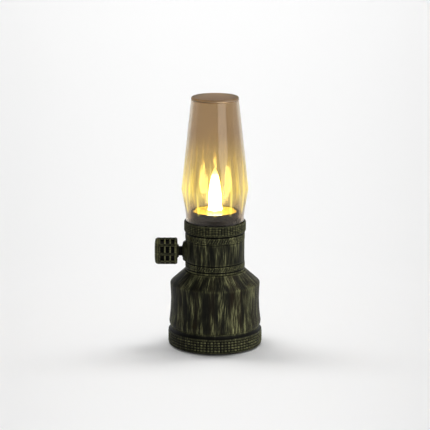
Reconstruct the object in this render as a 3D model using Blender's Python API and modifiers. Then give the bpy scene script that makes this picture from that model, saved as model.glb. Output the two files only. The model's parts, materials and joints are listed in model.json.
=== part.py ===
"""A rechargeable LED lamp in the shape of a small oil lamp, built as separate pieces.

Frame: origin at the centre of the foot pad's underside, +Z up, dimmer knob towards -X,
charging port towards +Y. Lengths are in metres.
"""

import math

import bmesh
import bpy
from mathutils import Vector

MM = 0.001
GAP = 0.3 * MM  # clearance left between pieces that touch

# Driving dimensions of the outside
LAMP_HEIGHT = 154.0 * MM
BASE_R = 29.0 * MM
PAD_R = 24.9 * MM
PAD_THICKNESS = 1.3 * MM
RING_BOTTOM = 0.5 * MM
RING_TOP = 12.0 * MM
TANK_EDGE_R = 27.6 * MM
TANK_EDGE_Z = 38.2 * MM
TANK_TOP_R = 19.1 * MM
TANK_TOP = 46.6 * MM
NECK_BORE_R = 16.2 * MM
CUP_R = 14.9 * MM
CUP_TOP = 83.9 * MM
FLAME_R = 4.4 * MM
FLAME_TOP = 110.0 * MM
CHIMNEY_FOOT_R = 17.8 * MM
CHIMNEY_GIRDLE_R = 20.5 * MM
CHIMNEY_TOP_R = 14.3 * MM
CHIMNEY_GIRDLE_Z = 97.5 * MM
CHIMNEY_WALL = 1.6 * MM
FACETS = 11
FACET_TURN = -91.0  # the direction of the front facet's middle, in degrees from +X
FACET_GIRDLE_R = 19.75 * MM  # the facets' distance from the axis at the girdle and at their foot
FACET_FOOT_R = 17.72 * MM
FACET_FOOT = 81.0 * MM

# The dimmer, whose axis runs along -X
KNOB_Z = 58.2 * MM
KNOB_R = 8.2 * MM
KNOB_INNER = 23.1 * MM
KNOB_OUTER = 36.9 * MM
KNOB_COLUMNS = 3
KNOB_ROWS = 9
FIRST_ROW = 8.5  # degrees round the knob from straight up
SHAFT_R = 2.9 * MM
BUSHING_R = 3.75 * MM
BUSHING_BORE_R = 3.1 * MM
BUSHING_HOLE_R = BUSHING_R + GAP
POT_R = 6.4 * MM
POT_FRONT = 13.5 * MM
POT_BACK = 7.9 * MM
POT_PAD_R = 6.6 * MM
POT_PAD_FACE = 18.35 * MM

# Where the inner pieces sit
COVER_TOP = 3.6 * MM
COVER_SCREW_RING = 20.6 * MM
COVER_SCREW_ANGLES = (30, 150, 270)
BOARD_BOTTOM = 26.0 * MM
BOARD_THICKNESS = 1.6 * MM
BOARD_R = 23.6 * MM
BOARD_POST_RING = 21.2 * MM
BOARD_POST_ANGLES = (0, 180)
CLAMP_BOTTOM = 40.3 * MM
CLAMP_TOP = 41.9 * MM
CLAMP_SCREW_RING = 13.0 * MM
CLAMP_SCREW_ANGLES = (90, 210, 330)
SHELF_BOTTOM = 65.4 * MM
SHELF_TOP = 66.5 * MM
CUP_SCREW_RING = 11.2 * MM
CUP_SCREW_ANGLES = (0, 120, 240)
DECK_BOTTOM = 77.6 * MM
DECK_TOP = 79.0 * MM
LED_BOARD_BOTTOM = DECK_TOP + GAP
LED_BOARD_TOP = 80.5 * MM
LED_SCREW_RING = 9.0 * MM
LED_SCREW_ANGLES = (60, 180, 300)
PORT_Z = 24.1 * MM
PORT_WIDTH = 12.4 * MM
PORT_HEIGHT = 6.6 * MM
CELL_R = 7.0 * MM
CELL_LENGTH = 25.0 * MM
CELL_Z = 13.2 * MM

LARGE_STEPS = 36
MIDDLE_STEPS = 24
SMALL_STEPS = 10

for old in list(bpy.data.objects):
    bpy.data.objects.remove(old)

lamp = bpy.data.collections.new("oil_lamp")
cutters = bpy.data.collections.new("cutters")
bpy.context.scene.collection.children.link(lamp)
bpy.context.scene.collection.children.link(cutters)


# Materials


def material(name, colour, roughness, metallic=0.0):
    made = bpy.data.materials.new(name)
    made.use_nodes = True
    shader = made.node_tree.nodes["Principled BSDF"]
    shader.inputs["Base Color"].default_value = (*colour, 1.0)
    shader.inputs["Roughness"].default_value = roughness
    shader.inputs["Metallic"].default_value = metallic
    return made


BRONZE = material("painted_bronze_abs", (0.045, 0.043, 0.032), 0.45, 0.3)
DARK_BRONZE = material("dark_bronze_abs", (0.02, 0.02, 0.018), 0.4, 0.3)
AMBER = material("amber_acrylic", (0.45, 0.33, 0.2), 0.08)
WARM_WHITE = material("warm_white_diffuser", (1.0, 0.85, 0.5), 0.4)
SATIN_GOLD = material("satin_gold_plate", (0.75, 0.55, 0.18), 0.3, 0.8)
RUBBER = material("black_silicone", (0.02, 0.02, 0.02), 0.8)
BLACK_ABS = material("black_abs", (0.03, 0.03, 0.03), 0.5)
GREEN_BOARD = material("green_solder_mask", (0.02, 0.16, 0.06), 0.4)
WHITE_BOARD = material("white_solder_mask", (0.8, 0.8, 0.76), 0.4)
PHENOLIC = material("brown_phenolic", (0.28, 0.14, 0.06), 0.5)
STEEL = material("zinc_plated_steel", (0.6, 0.6, 0.58), 0.35, 1.0)
BLUE_SLEEVE = material("blue_shrink_sleeve", (0.05, 0.16, 0.5), 0.35)
CHIP_BLACK = material("chip_epoxy", (0.02, 0.02, 0.02), 0.5)
YELLOW_EMITTER = material("phosphor", (0.9, 0.7, 0.15), 0.5)
RED_WIRE = material("red_pvc", (0.5, 0.02, 0.02), 0.45)
BLACK_WIRE = material("black_pvc", (0.02, 0.02, 0.02), 0.45)
WHITE_WIRE = material("white_pvc", (0.7, 0.7, 0.7), 0.45)
FOAM = material("grey_foam_tape", (0.3, 0.3, 0.3), 0.9)


# Modelling helpers


def mm_points(*pairs):
    """Profile points written in millimetres as radius, height."""
    return [(radius * MM, height * MM) for radius, height in pairs]


def arc(centre, radius, start, end, steps):
    """Profile points on an arc in the profile's own plane, angles in degrees."""
    angles = [math.radians(start + (end - start) * i / steps) for i in range(steps + 1)]
    return [(centre[0] + radius * math.cos(a), centre[1] + radius * math.sin(a)) for a in angles]


def polar(radius, degrees, height=0.0):
    angle = math.radians(degrees)
    return Vector((radius * math.cos(angle), radius * math.sin(angle), height))


def place(obj, coat, location=(0, 0, 0), rotation=(0, 0, 0), parent=None):
    """Puts a finished object in the lamp's collection with its material and place."""
    if coat:
        obj.data.materials.append(coat)
    for group in list(obj.users_collection):
        group.objects.unlink(obj)
    (lamp if coat else cutters).objects.link(obj)
    obj.location = location
    obj.rotation_euler = rotation
    obj.parent = parent
    if not coat:
        obj.hide_render = True
        obj.display_type = "WIRE"
    return obj


def turned(name, profile, coat=None, steps=MIDDLE_STEPS, **where):
    """A profile turned about Z. A ring's profile is closed; one that meets the axis is open."""
    on_axis = profile[0][0] == 0.0 and profile[-1][0] == 0.0
    count = len(profile)
    edges = [(i, (i + 1) % count) for i in range(count - 1 if on_axis else count)]
    mesh = bpy.data.meshes.new(name)
    mesh.from_pydata([(radius, 0.0, height) for radius, height in profile], edges, [])
    obj = place(bpy.data.objects.new(name, mesh), coat, **where)
    screw = obj.modifiers.new("turn", "SCREW")
    screw.axis = "Z"
    screw.steps = screw.render_steps = steps
    screw.use_merge_vertices = True
    screw.merge_threshold = 0.00001
    screw.use_smooth_shade = True
    return obj


def primitive(name, build, centre, coat, **where):
    """A bmesh primitive moved to its centre in the object's own frame."""
    body = bmesh.new()
    build(body)
    bmesh.ops.translate(body, vec=centre, verts=body.verts)
    mesh = bpy.data.meshes.new(name)
    body.to_mesh(mesh)
    body.free()
    return place(bpy.data.objects.new(name, mesh), coat, **where)


def cylinder(name, radius, low, high, coat=None, steps=SMALL_STEPS, **where):
    def build(body):
        bmesh.ops.create_cone(
            body, cap_ends=True, segments=steps, radius1=radius, radius2=radius, depth=high - low
        )

    obj = primitive(name, build, (0, 0, (low + high) / 2), coat, **where)
    obj.data.shade_smooth()
    obj.data.set_sharp_from_angle(angle=math.radians(30))
    return obj


def block(name, low, high, coat=None, rounding=0.0, **where):
    """A box between two corners in millimetres, with its edges rounded."""
    low, high = Vector(low) * MM, Vector(high) * MM

    def build(body):
        bmesh.ops.create_cube(body, size=1.0)
        bmesh.ops.scale(body, vec=high - low, verts=body.verts)

    obj = primitive(name, build, (low + high) / 2, coat, **where)
    if rounding:
        bevel = obj.modifiers.new("rounding", "BEVEL")
        bevel.width = rounding * MM
        bevel.segments = 2
    return obj


def joined(name, pieces):
    """One helper mesh that holds several separate shapes, each at its own place."""
    bpy.context.view_layer.update()
    graph = bpy.context.evaluated_depsgraph_get()
    body = bmesh.new()
    for piece in pieces:
        mesh = bpy.data.meshes.new_from_object(piece.evaluated_get(graph))
        mesh.transform(piece.matrix_world)
        body.from_mesh(mesh)
        bpy.data.meshes.remove(mesh)
    mesh = bpy.data.meshes.new(name)
    body.to_mesh(mesh)
    body.free()
    for piece in pieces:
        bpy.data.objects.remove(piece)
    return place(bpy.data.objects.new(name, mesh), None)


def boolean(obj, other, operation):
    change = obj.modifiers.new(operation.lower(), "BOOLEAN")
    change.operation = operation
    change.object = other
    return obj


def add(obj, *others):
    for other in others:
        boolean(obj, other, "UNION")
    return obj


def cut(obj, *others):
    for other in others:
        boolean(obj, other, "DIFFERENCE")
    return obj


def ring_of(count_or_angles, make):
    """Calls make(number, degrees) for each angle in turn."""
    return [make(i + 1, degrees) for i, degrees in enumerate(count_or_angles)]


def smooth_route(route, per_span=4):
    """Points on a smooth curve through a wire's own points (Catmull-Rom)."""
    knots = [Vector(p) * MM for p in route]
    knots = [2 * knots[0] - knots[1], *knots, 2 * knots[-1] - knots[-2]]
    found = []
    for a, b, c, d in zip(knots, knots[1:], knots[2:], knots[3:]):
        for i in range(per_span):
            t = i / per_span
            square, cube = 2 * a - 5 * b + 4 * c - d, 3 * b - a - 3 * c + d
            found.append(0.5 * (2 * b + (c - a) * t + square * t**2 + cube * t**3))
    return [*found, knots[-2]]


def wire(name, route, coat, radius=0.55 * MM):
    """An insulated lead, kept along its route by the housings."""
    data = bpy.data.curves.new(name, "CURVE")
    data.dimensions = "3D"
    data.bevel_depth = radius
    data.bevel_resolution = 1
    data.use_fill_caps = True
    line = smooth_route(route)
    spline = data.splines.new("POLY")
    spline.points.add(len(line) - 1)
    for point, at in zip(spline.points, line):
        point.co = (*at, 1.0)
    return place(bpy.data.objects.new(name, data), coat)


# Fasteners


def screw_mesh(name, head_r, head_height, shank_r, length):
    """A pan-head screw pointing up +Z: head below z = 0, shank above, cross recess underneath."""
    tip = shank_r * 0.45
    profile = [
        (0.0, length),
        (tip, length),
        (shank_r, length - 1.2 * MM),
        (shank_r, 0.0),
        (head_r, 0.0),
        (head_r, -0.6 * head_height),
        (head_r * 0.72, -head_height),
        (0.0, -head_height),
    ]
    body = turned(name, profile, None, 8)
    arm, half = head_r * 0.55 / MM, head_r * 0.13 / MM
    depth = head_height * 0.55 / MM
    bottom = -head_height / MM
    across = block("recess_x", (-arm, -half, bottom - 1), (arm, half, bottom + depth))
    along = block("recess_y", (-half, -arm, bottom - 1), (half, arm, bottom + depth))
    cut(body, across, along)
    bpy.context.view_layer.update()
    graph = bpy.context.evaluated_depsgraph_get()
    mesh = bpy.data.meshes.new_from_object(body.evaluated_get(graph))
    for helper in (body, across, along):
        bpy.data.objects.remove(helper)
    mesh.materials.append(STEEL)
    return mesh


def screws(name, mesh, radius, angles, seat, downwards=False):
    """Copies of one screw round the axis. seat is the height of the head's flat side."""
    for number, degrees in enumerate(angles, 1):
        obj = bpy.data.objects.new(f"{name}_{number}", mesh)
        lamp.objects.link(obj)
        obj.location = polar(radius, degrees, seat)
        obj.rotation_euler = (math.pi if downwards else 0.0, 0.0, 0.0)


def pilot_holes(name, radius, ring, angles, low, high):
    """Cutters for a ring of holes, turned a little so that no corner meets a seam of the part."""
    holes = []
    for i, degrees in enumerate(angles):
        where = {"location": polar(ring, degrees), "rotation": (0, 0, 0.2)}
        holes.append(cylinder(f"{name}_{i}", radius, low, high, steps=8, **where))
    return joined(name, holes)


# Base


def make_base():
    cylinder("foot_pad", PAD_R, 0.0, PAD_THICKNESS, RUBBER, LARGE_STEPS)

    plug_r, rim_r, recess_r = 24.3 * MM, 26.7 * MM, PAD_R + GAP
    recess_top = PAD_THICKNESS + GAP
    cover = turned(
        "bottom_cover",
        [
            (0.0, COVER_TOP),
            (plug_r, COVER_TOP),
            (plug_r, 2.5 * MM),
            (rim_r, 2.5 * MM),
            (rim_r, RING_BOTTOM),
            (recess_r, RING_BOTTOM),
            (recess_r, recess_top),
            (0.0, recess_top),
        ],
        BLACK_ABS,
        LARGE_STEPS,
    )
    holes = pilot_holes("cover_holes", 1.6 * MM, COVER_SCREW_RING, COVER_SCREW_ANGLES, 0.0, 6 * MM)
    sinks = pilot_holes(
        "cover_sinks", 2.8 * MM, COVER_SCREW_RING, COVER_SCREW_ANGLES, 0.0, recess_top + 1.3 * MM
    )
    cut(cover, holes, sinks)
    mesh = screw_mesh("cover_screw", 2.4 * MM, 0.9 * MM, 1.2 * MM, 9.0 * MM)
    screws("cover_screw", mesh, COVER_SCREW_RING, COVER_SCREW_ANGLES, 2.6 * MM)

    crown = arc((26.9 * MM, 9.0 * MM), 2.1 * MM, 80, 0, 4)
    heel = arc((BASE_R - 1.6 * MM, RING_BOTTOM + 1.6 * MM), 1.6 * MM, 0, -90, 3)
    turned(
        "base_ring",
        [
            (26.3 * MM, RING_TOP),
            (27.0 * MM, RING_TOP),
            *crown,
            *heel,
            *mm_points((27.0, 0.5), (27.0, 2.8), (24.7, 2.8), (24.7, 4.9), (26.3, 4.9)),
        ],
        BRONZE,
        LARGE_STEPS,
    )


# Tank


def tank_outline():
    """The tank's outer side from the top rim down to the groove over the base ring."""
    shoulder_end = (TANK_EDGE_R - 0.7 * MM, TANK_EDGE_Z + 1.25 * MM)
    rounding = arc((TANK_EDGE_R - 1.5 * MM, TANK_EDGE_Z), 1.5 * MM, 50, 0, 3)
    waist = mm_points((27.35, 34.0), (27.12, 30.5), (27.1, 26.5), (27.35, 22.5), (27.8, 18.0))
    bead = mm_points((28.15, 15.6), (28.2, 14.4), (27.95, 13.1), (27.4, 12.3))
    return [(TANK_TOP_R, TANK_TOP), shoulder_end, *rounding, *waist, *bead]


def make_tank():
    inside = mm_points(
        (26.0, 12.3), (26.0, 5.2), (23.0, 5.2), (23.0, 13.2), (25.2, 17.5), (25.1, 30.0), (25.6, 37.5),
        (18.5, 43.9), (18.5, 42.2), (16.6, 42.2),
    )
    tank = turned("tank_shell", [(16.6 * MM, TANK_TOP), *tank_outline(), *inside], BRONZE, LARGE_STEPS)
    bosses = ring_of(
        COVER_SCREW_ANGLES,
        lambda i, degrees: cylinder(
            f"cover_boss_{i}", 2.8 * MM, 3.9 * MM, 16.0 * MM, location=polar(COVER_SCREW_RING, degrees)
        ),
    )
    posts = ring_of(
        BOARD_POST_ANGLES,
        lambda i, degrees: cylinder(
            f"board_post_{i}",
            2.5 * MM,
            BOARD_BOTTOM + BOARD_THICKNESS + GAP,
            41.8 * MM,
            location=polar(BOARD_POST_RING, degrees),
        ),
    )
    add(tank, *bosses, *posts)
    port = block(
        "port_opening",
        (-PORT_WIDTH / 2 / MM, 20.0, (PORT_Z - PORT_HEIGHT / 2) / MM),
        (PORT_WIDTH / 2 / MM, 32.0, (PORT_Z + PORT_HEIGHT / 2) / MM),
    )
    pilots = pilot_holes("cover_pilots", 1.5 * MM, COVER_SCREW_RING, COVER_SCREW_ANGLES, 3 * MM, 14 * MM)
    post_pilots = pilot_holes(
        "board_pilots", 1.25 * MM, BOARD_POST_RING, BOARD_POST_ANGLES, 25 * MM, 36 * MM
    )
    cut(tank, port, pilots, post_pilots)


# Neck


def make_neck():
    outside = mm_points(
        (17.3, 72.6), (17.3, 70.2), (18.25, 70.2), (18.25, 66.1), (17.85, 65.9), (17.85, 65.5),
        (18.08, 65.3), (18.08, 52.7), (17.8, 52.5), (17.8, 52.0), (18.4, 51.8), (18.4, 48.8),
        (17.9, 48.6), (17.9, 46.9), (16.3, 46.9), (16.3, 42.4), (14.5, 42.4),
    )
    inside = [
        *mm_points((14.5, 48.6), (16.2, 50.4)),
        (NECK_BORE_R, SHELF_BOTTOM),
        (8.5 * MM, SHELF_BOTTOM),
        (8.5 * MM, SHELF_TOP),
        (NECK_BORE_R, SHELF_TOP),
        (NECK_BORE_R, 72.6 * MM),
    ]
    neck = turned("neck_shell", [*outside, *inside], BRONZE, LARGE_STEPS)
    at = {"location": (0, 0, KNOB_Z), "rotation": TO_LEFT}
    pad = cylinder("dimmer_pad", POT_PAD_R, 14.6 * MM, POT_PAD_FACE, steps=16, **at)
    bosses = ring_of(
        CLAMP_SCREW_ANGLES,
        lambda i, degrees: cylinder(
            f"clamp_boss_{i}", 2.3 * MM, 42.4 * MM, 49.4 * MM, location=polar(CLAMP_SCREW_RING, degrees)
        ),
    )
    add(neck, pad, *bosses)
    hole = cylinder("bushing_hole", BUSHING_HOLE_R, 10 * MM, 25 * MM, steps=16, **at)
    pilots = pilot_holes("clamp_pilots", 1.3 * MM, CLAMP_SCREW_RING, CLAMP_SCREW_ANGLES, 41 * MM, 48.4 * MM)
    shelf_holes = pilot_holes("shelf_holes", 1.3 * MM, CUP_SCREW_RING, CUP_SCREW_ANGLES, 64 * MM, 68 * MM)
    cut(neck, hole, pilots, shelf_holes)

    bore, rim = 9.8 * MM, 18.2 * MM
    section = [(bore, CLAMP_TOP), (rim, CLAMP_TOP), (rim, CLAMP_BOTTOM), (bore, CLAMP_BOTTOM)]
    clamp = turned("neck_clamp_ring", section, STEEL, MIDDLE_STEPS)
    cut(clamp, pilot_holes("clamp_holes", 1.3 * MM, CLAMP_SCREW_RING, CLAMP_SCREW_ANGLES, 38 * MM, 44 * MM))
    mesh = screw_mesh("clamp_screw", 2.1 * MM, 1.1 * MM, 1.0 * MM, 7.6 * MM)
    screws("clamp_screw", mesh, CLAMP_SCREW_RING, CLAMP_SCREW_ANGLES, CLAMP_BOTTOM - GAP)


# Burner cup, light source and chimney


def make_collar():
    turned(
        "chimney_collar",
        mm_points(
            (18.15, 77.3), (18.75, 77.3), (19.05, 76.8), (19.05, 72.0), (18.5, 71.0), (18.5, 70.5),
            (17.6, 70.5), (17.6, 72.9), (15.4, 72.9), (15.4, 73.7), (18.15, 73.7),
        ),
        BRONZE,
        LARGE_STEPS,
    )
    seal = mm_points((15.9, 74.7), (17.85, 74.7), (17.85, 74.0), (15.9, 74.0))
    turned("chimney_seal", seal, RUBBER, MIDDLE_STEPS)


def make_cup():
    cup = turned(
        "burner_cup",
        [
            (13.7 * MM, CUP_TOP),
            (14.6 * MM, CUP_TOP),
            (CUP_R, CUP_TOP - 0.3 * MM),
            *mm_points((14.9, 68.0), (15.9, 68.0), (15.9, 66.8), (13.5, 66.8)),
            (13.5 * MM, DECK_BOTTOM),
            (3.0 * MM, DECK_BOTTOM),
            (3.0 * MM, DECK_TOP),
            (12.8 * MM, DECK_TOP),
            *mm_points((12.8, 82.3), (13.7, 82.3)),
        ],
        DARK_BRONZE,
        MIDDLE_STEPS,
    )
    boss_top = DECK_BOTTOM + 0.5 * MM
    bosses = ring_of(
        CUP_SCREW_ANGLES,
        lambda i, degrees: cylinder(
            f"cup_boss_{i}", 2.3 * MM, 66.8 * MM, boss_top, location=polar(CUP_SCREW_RING, degrees)
        ),
    )
    studs = ring_of(
        LED_SCREW_ANGLES,
        lambda i, degrees: cylinder(
            f"led_boss_{i}", 1.9 * MM, 73.0 * MM, boss_top, location=polar(LED_SCREW_RING, degrees)
        ),
    )
    add(cup, *bosses, *studs)
    cut(
        cup,
        pilot_holes("cup_pilots", 1.3 * MM, CUP_SCREW_RING, CUP_SCREW_ANGLES, 65 * MM, 74 * MM),
        pilot_holes("led_pilots", 1.2 * MM, LED_SCREW_RING, LED_SCREW_ANGLES, 74 * MM, 80 * MM),
    )
    mesh = screw_mesh("cup_screw", 1.9 * MM, 1.0 * MM, 1.0 * MM, 8.0 * MM)
    screws("cup_screw", mesh, CUP_SCREW_RING, CUP_SCREW_ANGLES, SHELF_BOTTOM - GAP)


def make_light():
    board = cylinder("led_board", 12.4 * MM, LED_BOARD_BOTTOM, LED_BOARD_TOP, WHITE_BOARD, MIDDLE_STEPS)
    cut(board, pilot_holes("led_holes", 1.2 * MM, LED_SCREW_RING, LED_SCREW_ANGLES, 78 * MM, 82 * MM))
    mesh = screw_mesh("led_screw", 1.8 * MM, 0.8 * MM, 0.9 * MM, 6.0 * MM)
    screws("led_screw", mesh, LED_SCREW_RING, LED_SCREW_ANGLES, LED_BOARD_TOP + GAP, downwards=True)
    block("led_emitter", (-2.5, -2.5, 80.8), (2.5, 2.5, 82.0), YELLOW_EMITTER, 0.2)

    turned(
        "reflector_plate",
        mm_points((4.9, 83.4), (13.3, 83.4), (13.3, 82.6), (4.9, 82.6)),
        SATIN_GOLD,
        MIDDLE_STEPS,
    )
    turned("flame_diffuser", [*flame_outline(), *flame_hollow()], WARM_WHITE, 16)


def flame_width(share):
    """Half width of the flame at a share of its height: widest low down, drawn to a tip."""
    return FLAME_R * math.cos(math.pi / 2 * share**1.35) ** 0.8


def flame_outline():
    low, steps = 88.0 * MM, 8
    shares = [1.0 - i / steps for i in range(steps + 1)]
    body = [(flame_width(s) if s < 1.0 else 0.0, low + (FLAME_TOP - low) * s) for s in shares]
    return [*body, *mm_points((4.15, 84.0), (4.15, 82.3), (6.5, 82.3), (6.5, 80.8), (3.9, 80.8))]


def flame_hollow():
    return mm_points((3.9, 82.4), (2.9, 84.5), (3.0, 90.0), (2.0, 96.5), (0.0, 101.0))


def chimney_profile(offset):
    """The chimney's wall from the foot up to its closed top's shoulder, moved inwards by offset."""
    foot = [(CHIMNEY_FOOT_R, 75.0 * MM), (CHIMNEY_FOOT_R, 80.5 * MM)]
    belly = mm_points((18.35, 86.0), (19.1, 91.0))
    girdle = (CHIMNEY_GIRDLE_R, CHIMNEY_GIRDLE_Z)
    above = (CHIMNEY_GIRDLE_R - 0.25 * MM, CHIMNEY_GIRDLE_Z + 4 * MM)
    shoulder = (CHIMNEY_TOP_R + 0.1 * MM, LAMP_HEIGHT - 0.9 * MM)
    side = [(radius - offset, height) for radius, height in (*foot, *belly, girdle, above)]
    return [*side, (shoulder[0] - offset, shoulder[1] - offset)]


def make_chimney():
    outer = chimney_profile(0.0)
    inner = chimney_profile(CHIMNEY_WALL)
    rounding = 0.9 * MM
    edge = arc((outer[-1][0] - rounding, LAMP_HEIGHT - rounding), rounding, 90, 0, 3)
    outside = [(0.0, LAMP_HEIGHT), *edge, *reversed(outer[:-1])]
    ceiling = LAMP_HEIGHT - CHIMNEY_WALL
    inside = [*inner, (inner[-1][0] - rounding, ceiling), (0.0, ceiling)]
    ridge = math.radians(FACET_TURN + 180.0 / FACETS)
    shell = turned("chimney", [*outside, *inside], AMBER, 4 * FACETS, rotation=(0, 0, ridge))
    boolean(shell, facet_planes(ridge), "INTERSECT")


def facet_planes(ridge):
    """The flat planes that meet round the girdle. Below their foot the chimney stays round."""
    corner = 1.0 / math.cos(math.pi / FACETS)
    slope = 0.0803  # how fast the upper planes lean in
    top, bottom, clear = LAMP_HEIGHT + 1 * MM, 74 * MM, 21 * MM
    top_r = FACET_GIRDLE_R - slope * (top - CHIMNEY_GIRDLE_Z)
    profile = [
        (0.0, top),
        (top_r * corner, top),
        (FACET_GIRDLE_R * corner, CHIMNEY_GIRDLE_Z),
        (FACET_FOOT_R * corner, FACET_FOOT),
        (clear, FACET_FOOT - 0.2 * MM),
        (clear, bottom),
        (0.0, bottom),
    ]
    return turned("chimney_planes", profile, None, FACETS, rotation=(0, 0, ridge))


# Dimmer

TO_LEFT = (0.0, -math.pi / 2, 0.0)  # turns +Z to -X, so heights become distances along -X


def ring_along_x(name, bore, radius, near, far, coat, steps=16, **where):
    profile = [(bore, far), (radius, far), (radius, near), (bore, near)]
    return turned(name, profile, coat, steps, **where)


def make_dimmer():
    """The potentiometer fixed in the neck. Distances run along -X from the lamp's axis."""
    at = {"location": (0, 0, KNOB_Z), "rotation": TO_LEFT}
    ring_along_x("dimmer_bushing", BUSHING_BORE_R, BUSHING_R, POT_FRONT + GAP, 20.2 * MM, STEEL, **at)
    ring_along_x("dimmer_washer", BUSHING_HOLE_R, 5.8 * MM, 13.8 * MM, 14.3 * MM, STEEL, **at)
    case = [
        (BUSHING_BORE_R, POT_FRONT),
        (POT_R, POT_FRONT),
        (POT_R, POT_BACK),
        (5.7 * MM, POT_BACK),
        (5.7 * MM, POT_FRONT - 0.8 * MM),
        (BUSHING_BORE_R, POT_FRONT - 0.8 * MM),
    ]
    turned("dimmer_case", case, STEEL, 16, **at)

    wafer = cylinder("dimmer_wafer", POT_R, 6.6 * MM, 7.6 * MM, PHENOLIC, 16, **at)
    lug_top = KNOB_Z / MM - 5.0
    for number, side in enumerate((-2.5, 0.0, 2.5), 1):
        low, high = (-7.35, side - 0.6, lug_top - 5.0), (-6.85, side + 0.6, lug_top)
        add(wafer, block(f"dimmer_lug_{number}", low, high))
    block("dimmer_switch", (-6.3, -4.4, 53.8), (-2.3, 4.4, 62.6), BLACK_ABS, 0.4)

    nut_profile = [
        (BUSHING_HOLE_R, 19.8 * MM),
        (4.7 * MM, 19.8 * MM),
        (6.25 * MM, 18.95 * MM),
        (6.25 * MM, POT_PAD_FACE + GAP),
        (BUSHING_HOLE_R, POT_PAD_FACE + GAP),
    ]
    nut = turned("dimmer_nut", nut_profile, STEEL, 16, **at)
    boolean(nut, cylinder("nut_flats", 6.35 * MM, 15 * MM, 25 * MM, steps=8, **at), "INTERSECT")


def knob_pockets():
    """The cutter for the knob's rows and columns of shallow square pockets."""
    pitch, width, height, depth = 3.3 * MM, 2.2 * MM, 3.95 * MM, 1.3 * MM
    first = KNOB_INNER + 1.6 * MM + width / 2
    half = Vector((depth, height / 2, width / 2)) / MM
    pieces = []
    for row in range(KNOB_ROWS):
        degrees = FIRST_ROW + 360.0 * row / KNOB_ROWS
        for column in range(KNOB_COLUMNS):
            pocket = block(f"pocket_{row}_{column}", -half, half)
            pocket.location = polar(KNOB_R, degrees, first + pitch * column)
            pocket.rotation_euler = (0.0, 0.0, math.radians(degrees))
            pieces.append(pocket)
    return joined("knob_pockets", pieces)


def make_knob():
    """The knob, its shaft and the wiper turn together about the dimmer's axis."""
    axis = bpy.data.objects.new("knob_axis", None)
    lamp.objects.link(axis)
    axis.location = (0, 0, KNOB_Z)
    axis.rotation_euler = TO_LEFT

    rounding = arc((KNOB_R - 1.3 * MM, KNOB_OUTER - 1.6 * MM), 1.3 * MM, 80, 0, 3)
    inner_end = mm_points((7.7, 23.1), (4.4, 23.1), (3.7, 22.2), (3.2, 22.2), (3.2, 34.6), (0.0, 34.6))
    knob = turned(
        "dimmer_knob",
        [
            (0.0, KNOB_OUTER),
            (4.5 * MM, KNOB_OUTER - 0.1 * MM),
            *rounding,
            (KNOB_R, KNOB_INNER + 0.6 * MM),
            *inner_end,
        ],
        BRONZE,
        30,
        parent=axis,
    )
    pockets = knob_pockets()
    pockets.parent = axis
    cut(knob, pockets)

    shaft = cylinder("dimmer_shaft", SHAFT_R, 9.2 * MM, 34.2 * MM, STEEL, 16, parent=axis)
    flat = block("shaft_flat", (2.2, -4.0, 25.0), (4.0, 4.0, 40.0), parent=axis)
    cut(shaft, flat)
    ring_along_x("dimmer_wiper", 3.2 * MM, 5.2 * MM, 10.2 * MM, 11.8 * MM, PHENOLIC, parent=axis)


# Electronics in the tank


def make_electronics():
    board_top = BOARD_BOTTOM + BOARD_THICKNESS
    board = cylinder("main_board", BOARD_R, BOARD_BOTTOM, board_top, GREEN_BOARD, 30)
    notches = pilot_holes("board_notches", 3.3 * MM, 22.2 * MM, COVER_SCREW_ANGLES, 24 * MM, 30 * MM)
    holes = pilot_holes("board_holes", 1.3 * MM, BOARD_POST_RING, BOARD_POST_ANGLES, 24 * MM, 30 * MM)
    cut(board, notches, holes)
    mesh = screw_mesh("board_screw", 1.9 * MM, 0.9 * MM, 0.9 * MM, 8.0 * MM)
    screws("board_screw", mesh, BOARD_POST_RING, BOARD_POST_ANGLES, BOARD_BOTTOM - GAP)

    socket_top = BOARD_BOTTOM - GAP
    socket = block(
        "charging_socket", (-4.5, 17.3, socket_top / MM - 3.2), (4.5, 24.6, socket_top / MM), STEEL, 0.5
    )
    mouth = block("socket_mouth", (-4.0, 18.6, socket_top / MM - 2.75), (4.0, 30.0, socket_top / MM - 0.45))
    tongue = block("socket_tongue", (-3.2, 18.3, socket_top / MM - 1.9), (3.2, 24.0, socket_top / MM - 1.3))
    add(cut(socket, mouth), tongue)

    chip_low = board_top / MM + 0.3
    block("control_chip", (3.5, 6.0, chip_low), (8.5, 10.0, chip_low + 1.5), CHIP_BLACK, 0.2)
    block("charger_chip", (-3.0, 12.5, chip_low), (0.2, 15.5, chip_low + 1.2), CHIP_BLACK, 0.2)
    low = board_top + GAP
    cylinder("inductor", 3.0 * MM, low, low + 3.2 * MM, CHIP_BLACK, 20, location=(-9 * MM, 7 * MM, 0))
    cylinder("capacitor", 2.5 * MM, low, low + 6.0 * MM, BLUE_SLEEVE, 20, location=(10 * MM, -8 * MM, 0))


def make_battery():
    block("battery_tape", (-12.0, -6.0, 3.9), (12.0, 6.0, 4.6), FOAM)
    holder = block("battery_holder", (-14.8, -8.4, 4.9), (14.8, 8.4, 13.0), BLACK_ABS)
    hollow = block("holder_hollow", (-13.6, -7.3, 5.9), (13.6, 7.3, 20.0))
    cut(holder, hollow)
    half, cap = CELL_LENGTH / 2, 0.8 * MM
    cell = [
        (0.0, half),
        (2.2 * MM, half),
        (2.2 * MM, half - cap),
        (CELL_R - 0.5 * MM, half - cap),
        (CELL_R, half - cap - 0.5 * MM),
        (CELL_R, -half),
        (0.0, -half),
    ]
    turned("battery_cell", cell, BLUE_SLEEVE, 28, location=(0, 0, CELL_Z), rotation=TO_LEFT)
    block("battery_contact_plus", (-13.2, -4.0, 6.4), (-12.8, 4.0, 17.0), STEEL)
    block("battery_contact_minus", (12.8, -4.0, 6.4), (13.2, 4.0, 17.0), STEEL)


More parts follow.
